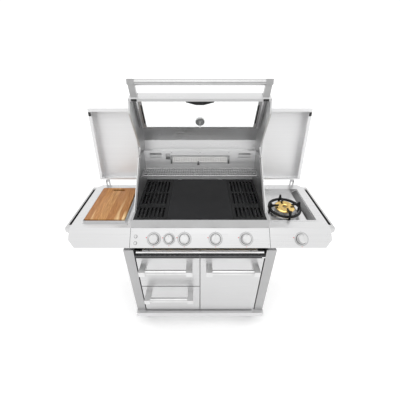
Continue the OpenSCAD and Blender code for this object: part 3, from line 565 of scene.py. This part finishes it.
def make_dial_marks():
    """Scale ring, tick and red marks around each knob, and a painted shadow ring round knobs and buttons."""
    red, grey, black = bmesh.new(), bmesh.new(), bmesh.new()
    for name in KNOBS:
        low, high = node_size(name)
        grip = (high.x - low.x) / 2
        bezel = BEZEL_RADIUS[name]
        place = knob_frame(name)
        # Painted shadow ring at the foot of the knob.
        ring(black, grip + 0.0004, grip + 0.0028, 0.001, 0.0019, place)
        ring(grey, bezel - 0.0024, bezel - 0.0008, 0.001, 0.0018, place)
        marks = ((red, 170, 0.0052, 0.0052), (red, 270, 0.0044, 0.003), (grey, 90, 0.0016, 0.005))
        for bm, turn, width, depth in marks:
            around = place @ Matrix.Rotation(math.radians(turn), 4, "Z")
            spot = around @ Matrix.Translation((bezel + 0.0045, 0, 0.0))
            add_block(bm, (-depth / 2, -width / 2, -0.0002), (depth / 2, width / 2, 0.0005), 0.0003, spot)
    for name in ("button_ignition", "button_light"):
        low, high = node_size(name)
        radius = (high.x - low.x) / 2
        panel = knob_frame(KNOBS[0])
        spot = panel.inverted() @ ((low + high) / 2)
        spot.z = 0
        # Painted shadow ring round the button.
        ring(black, radius + 0.0003, radius + 0.0018, 0.0, 0.0008, panel @ Matrix.Translation(spot), 40)
    mesh_piece("dial_marks_red", red, RED, "root")
    mesh_piece("dial_marks_grey", grey, GREY_INK, "root")
    mesh_piece("knob_shadow_rings", black, PAINTED_SHADOW_BLACK, "root")


def make_knob_pointers():
    """A short dark pointer line set in the top of each knob's face."""
    for name in KNOBS:
        low, high = node_size(name)
        radius = (high.x - low.x) / 2
        bm = bmesh.new()
        face = 0.0303
        add_block(bm, (-0.0011, radius - 0.0145, face - 0.0012), (0.0011, radius - 0.0072, face), 0.0004,
                  knob_frame(name))
        mesh_piece(name + "_pointer", bm, GREY_INK, name)


# ---------------------------------------------------------------- hood

def glass_frame():
    """+Y up the closed window's slope and +Z outwards, turned open with the hood."""
    run = GLASS_HEAD - GLASS_FOOT
    slope = math.atan2(run.z, run.y)
    return OPEN_HOOD @ Matrix.Translation(GLASS_FOOT) @ Matrix.Rotation(slope, 4, "X"), run.length


def make_window_frame():
    """Steel clamping frame and black seals inside the window, and a plain dark print at its foot."""
    place, length = glass_frame()
    half = node_size("hood_glass")[1].x - 0.008
    clamp = plate_mesh("clamp", [rounded_outline(-half - 0.038, half + 0.038, 0.004, length - 0.002, 0.003),
                                 rounded_outline(-half + 0.001, half - 0.001, 0.012, length - 0.009, 0.003)],
                       0.003, 0.0006)
    mesh_piece("window_clamp", clamp, STEEL_DARK, "hood", place @ Matrix.Translation((0, 0, -0.0085)))
    seals, bars = bmesh.new(), bmesh.new()
    for side in (-1, 1):
        x = side * (half + 0.006)
        add_block(seals, (x - 0.005, 0.075, -0.0115), (x + 0.005, length - 0.04, -0.0098), 0.0007, place)
        x = side * (half + 0.027)
        add_block(bars, (x - 0.006, 0.012, -0.016), (x + 0.006, length - 0.006, -0.0099), 0.0015, place)
    mesh_piece("window_seals", seals, BLACKENED, "hood")
    mesh_piece("window_clamp_bars", bars, STEEL_X, "hood")
    tint = plate_mesh("tint", [[(-0.088, 0.05), (0.088, 0.05), (0.088, 0.058), (0.024, 0.077), (-0.024, 0.077),
                                (-0.088, 0.058)]], 0.0006, 0.0001)
    mesh_piece("window_foot_print", tint, BLACKENED, "hood",
               place @ Matrix.Translation((0, 0, -0.0069)))


def make_hood_trim():
    """Rubber bumpers under the hood's lip and screws above the handle's arms."""
    bm = bmesh.new()
    for side in (-1, 1):
        add_block(bm, (side * 0.381 - 0.016, -0.2435, 0.8835), (side * 0.381 + 0.016, -0.2305, 0.8898), 0.002,
                  OPEN_HOOD, 3)
    mesh_piece("hood_bumpers", bm, RUBBER, "hood")
    screws = bmesh.new()
    lean = math.atan2(0.036, 0.075)
    for side in (-1, 1):
        for x in (0.374, 0.394):
            spot = Matrix.Translation((side * x, -0.2735, 0.9495)) @ Matrix.Rotation(math.pi / 2 + lean, 4, "X")
            screw_head(screws, OPEN_HOOD @ spot, 0.0045)
    mesh_piece("handle_screws", screws, COATED, "hood")


def make_lid_bumpers():
    """Rubber foot at each lid's outer front corner, a hair above the shelf when the lid is shut."""
    for side, body in ((-1, "lid_left"), (1, "lid_right")):
        bm = bmesh.new()
        add_block(bm, (side * 0.7315 - 0.0085, -0.2135, 0.8523), (side * 0.7315 + 0.0085, -0.1885, 0.8549),
                  0.003, OPEN_LID, 3)
        mesh_piece(body + "_bumper", bm, RUBBER, body)


# ---------------------------------------------------------------- casters

def make_wheels():
    """Grooved rubber tyre on a coated hub."""
    for corner in ("front_left", "front_right", "rear_left", "rear_right"):
        name = "wheel_" + corner
        low, high = node_size(name)
        centre = (low + high) / 2
        radius = (high.z - low.z) / 2
        half_w = (high.x - low.x) / 2 - 0.001
        across = Matrix.Translation(centre) @ Matrix.Rotation(math.pi / 2, 4, "Y")
        tyre = bmesh.new()
        add_lathe(tyre, [(radius - 0.011, -half_w + 0.003), (radius - 0.004, -half_w + 0.002), (radius, -0.008),
                         (radius, -0.0012), (radius - 0.0012, 0), (radius, 0.0012), (radius, 0.008),
                         (radius - 0.004, half_w - 0.002), (radius - 0.011, half_w - 0.003),
                         (radius - 0.011, -half_w + 0.003)], across, 72)
        tread = mesh_piece(name + "_tyre", tyre, RUBBER, name)
        hub = bmesh.new()
        bore, boss, web, seat = 0.0055, 0.0145, radius - 0.0165, radius - 0.0112
        add_lathe(hub, [(bore, -half_w), (0.013, -half_w), (boss, -half_w + 0.002), (boss, -0.004),
                        (web, -0.004), (radius - 0.0155, -half_w + 0.004), (seat, -half_w + 0.003),
                        (seat, half_w - 0.003), (radius - 0.0155, half_w - 0.004), (web, 0.004),
                        (boss, 0.004), (boss, half_w - 0.002), (0.013, half_w), (bore, half_w),
                        (bore, -half_w)], across, 48)
        mesh_piece(name + "_hub", hub, COATED, name)
        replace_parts(tread, name)


def make_brake_pedals():
    """Pedal behind each swivelling fork."""
    for body in ("caster_fork_left", "caster_fork_right"):
        low, high = node_size(body)
        x = (low.x + high.x) / 2
        bm = bmesh.new()
        add_block(bm, (x - 0.014, high.y - 0.024, 0.1075), (x + 0.014, high.y - 0.001, 0.1125), 0.0018)
        mesh_piece(body + "_pedal", bm, RUBBER, body)


def make_rail_grips():
    """Black strips along each side rail and along the shelf's edge beside it."""
    outer = node_size("side_rails")[1].x - 0.0112
    bm = bmesh.new()
    for side in (-1, 1):
        for inner_x, half_t, edge in ((outer, 0.0012, 0.0005), (0.7652, 0.0006, 0.0003)):
            x = side * inner_x
            add_block(bm, (x - half_t, -0.2075, 0.8275), (x + half_t, 0.1955, 0.8512), edge)
    mesh_piece("rail_grips", bm, RUBBER, "root")


def make_panel_seams():
    """Dark joint strips between the control panel and the shelves."""
    slope = Matrix.Translation(PANEL_TOP) @ Matrix.Rotation(PANEL_TILT, 4, "X")
    bm = bmesh.new()
    for side in (-1, 1):
        x = side * 0.40525
        add_block(bm, (x - 0.0011, -0.114, -0.001), (x + 0.0011, -0.001, 0.0003), 0.0002, slope)
    mesh_piece("panel_seams", bm, BLACKENED, "root")


def make_tray_slant():
    """Painted reflection: a dark brushed sheet on the sloping right wall of the side burner's pan, where the
    shaded hood end is mirrored.
    """
    low, high = node_size("side_burner_tray")
    foot = Vector((high.x - 0.046, 0, low.z + 0.0017))
    head = Vector((high.x - 0.0094, 0, high.z - 0.0068))
    run = head - foot
    place = Matrix.Translation(foot) @ Matrix.Rotation(-math.atan2(run.z, run.x), 4, "Y")
    bm = bmesh.new()
    add_block(bm, (0.0015, low.y + 0.013, 0.0002), (run.length - 0.0015, high.y - 0.013, 0.0009), 0.0003, place)
    # Painted reflection of the hood end's dark side.
    mesh_piece("pan_slant_painted_reflection", bm, STEEL_PAINTED_SHADE, "root")


def make_rim_shading():
    """Painted shade: a dark sheet over the inner half of the fire box's side rims."""
    bm = bmesh.new()
    for foot, head in zip(RIM_SLOPE, RIM_SLOPE[1:]):
        run = head - foot
        place = Matrix.Translation(foot) @ Matrix.Rotation(math.atan2(run.z, run.y), 4, "X")
        for side in (-1, 1):
            x = side * RIM_X
            # Painted shade on the rim's inner half.
            add_block(bm, (x - 0.0042, 0.0005, 0.0001), (x + 0.0042, run.length - 0.0005, 0.0006), 0.0002, place)
    mesh_piece("rim_painted_shade", bm, STEEL_PAINTED_SHADE, "root")


def make_rear_burner_frame():
    """Dark frame round the rear burner, the bracket beside it and its igniter."""
    low, high = node_size("rear_burner")
    bm = bmesh.new()
    front = low.y - 0.004
    back, edge = front + 0.003, 0.0008
    add_block(bm, (low.x - 0.012, front, low.z - 0.004), (low.x - 0.002, back, high.z + 0.004), edge)
    add_block(bm, (high.x + 0.002, front, low.z - 0.004), (high.x + 0.012, back, high.z + 0.004), edge)
    add_block(bm, (low.x - 0.012, front, high.z + 0.002), (high.x + 0.012, back, high.z + 0.006), edge)
    reach = 0.4 * (high.z - low.z)
    add_block(bm, (low.x - 0.044, front + 0.001, high.z - reach),
              (low.x - 0.014, front + 0.006, high.z + reach), 0.001)
    mesh_piece("rear_burner_frame", bm, STEEL_DARK, "root")
    rod = bmesh.new()
    add_tube(rod, [(-0.012, front - 0.002, low.z - 0.012), (-0.012, front - 0.003, low.z + 0.016)], 0.0035, 14)
    add_block(rod, (-0.02, front - 0.005, low.z - 0.013), (-0.004, front + 0.003, low.z - 0.004), 0.001)
    mesh_piece("igniter", rod, COATED_GREY, "root")


def make_small_screws():
    """Three bright studs on the drip tray's bar and two screws in the pan's back wall."""
    front = node_size("drip_tray")[0].y
    bar = bmesh.new()
    for x in (-0.3, 0, 0.3):
        screw_head(bar, Matrix.Translation((x, front + 0.004, 0.7358)), 0.005)
    mesh_piece("drip_tray_studs", bar, CHROME, "drip_tray")
    pan = bmesh.new()
    for x in (0.487, 0.503):
        screw_head(pan, Matrix.Translation((x, 0.199, 0.838)) @ Matrix.Rotation(math.pi / 2, 4, "X"), 0.0035)
    mesh_piece("pan_screws", pan, CHROME, "root")


make_warming_rack()
make_cutting_board()
make_dial_marks()
make_knob_pointers()
make_window_frame()
make_hood_trim()
make_lid_bumpers()
make_rail_grips()
make_panel_seams()
make_tray_slant()
make_rim_shading()
make_rear_burner_frame()
make_small_screws()
make_wheels()
make_brake_pedals()


# ---------------------------------------------------------------- light, floor, camera

def make_stage():
    """Plain pale floor."""
    floor = bpy.data.meshes.new("floor")
    half = 30.0
    corners = [(-half, -half, 0), (half, -half, 0), (half, half, 0), (-half, half, 0)]
    floor.from_pydata(corners, [], [(0, 1, 2, 3)])
    obj = bpy.data.objects.new("floor", floor)
    bpy.context.collection.objects.link(obj)
    s = Shader("floor_pale", Roughness=0.9, Emission_Color=(1, 1, 1, 1), Emission_Strength=0.2)
    patches = s.noise(s.coords, 0.4, 2.0)
    s.set("Base Color", s.ramp(patches, [(0.3, (0.96, 0.96, 0.96)), (0.7, (0.97, 0.97, 0.97))]))
    floor.materials.append(s.material)


def make_world():
    """White studio all round, darker low behind the camera so that metal shows form."""
    world = bpy.data.worlds.new("studio")
    world.use_nodes = True
    tree = world.node_tree
    bpy.context.scene.world = world
    background = tree.nodes["Background"]
    background.inputs["Color"].default_value = (1, 1, 1, 1)
    split = tree.nodes.new("ShaderNodeSeparateXYZ")
    tree.links.new(tree.nodes.new("ShaderNodeTexCoord").outputs["Generated"], split.inputs["Vector"])

    def fade(output, start, stop):
        made = tree.nodes.new("ShaderNodeMapRange")
        made.interpolation_type = "SMOOTHSTEP"
        made.inputs["From Min"].default_value = start
        made.inputs["From Max"].default_value = stop
        tree.links.new(output, made.inputs["Value"])
        return made.outputs["Result"]

    behind = fade(split.outputs["Y"], -0.3, -0.75)
    low = fade(split.outputs["Z"], 0.55, 0.1)
    both = tree.nodes.new("ShaderNodeMath")
    both.operation = "MULTIPLY"
    tree.links.new(behind, both.inputs[0])
    tree.links.new(low, both.inputs[1])
    strength = tree.nodes.new("ShaderNodeMapRange")
    strength.inputs["To Min"].default_value = SKY
    strength.inputs["To Max"].default_value = SKY_BEHIND
    tree.links.new(both.outputs["Value"], strength.inputs["Value"])
    tree.links.new(strength.outputs["Result"], background.inputs["Strength"])


def make_softbox():
    """Large soft light over the front that reaches into the open hood."""
    light = bpy.data.lights.new("softbox", "AREA")
    light.shape = "RECTANGLE"
    light.size, light.size_y = 1.8, 1.2
    light.energy = 11
    place, target = Vector((0, -0.6, 3.0)), Vector((0, 0.2, 1.0))
    obj = bpy.data.objects.new("softbox", light)
    obj.location = place
    obj.rotation_euler = (target - place).to_track_quat("-Z", "Y").to_euler()
    bpy.context.collection.objects.link(obj)


def make_camera():
    """Wide view from above the front, looking a third of the way down."""
    image_w, focal = 400, 241
    data = bpy.data.cameras.new("camera")
    data.sensor_width = 36
    data.lens = 36 * focal / image_w
    obj = bpy.data.objects.new("camera", data)
    obj.location = (0, -1.315, 1.774)
    obj.rotation_euler = (math.radians(90 - 33.9), 0, 0)
    bpy.context.collection.objects.link(obj)
    bpy.context.scene.camera = obj


make_stage()
make_world()
make_softbox()
make_camera()
bpy.context.scene.view_settings.view_transform = "Standard"
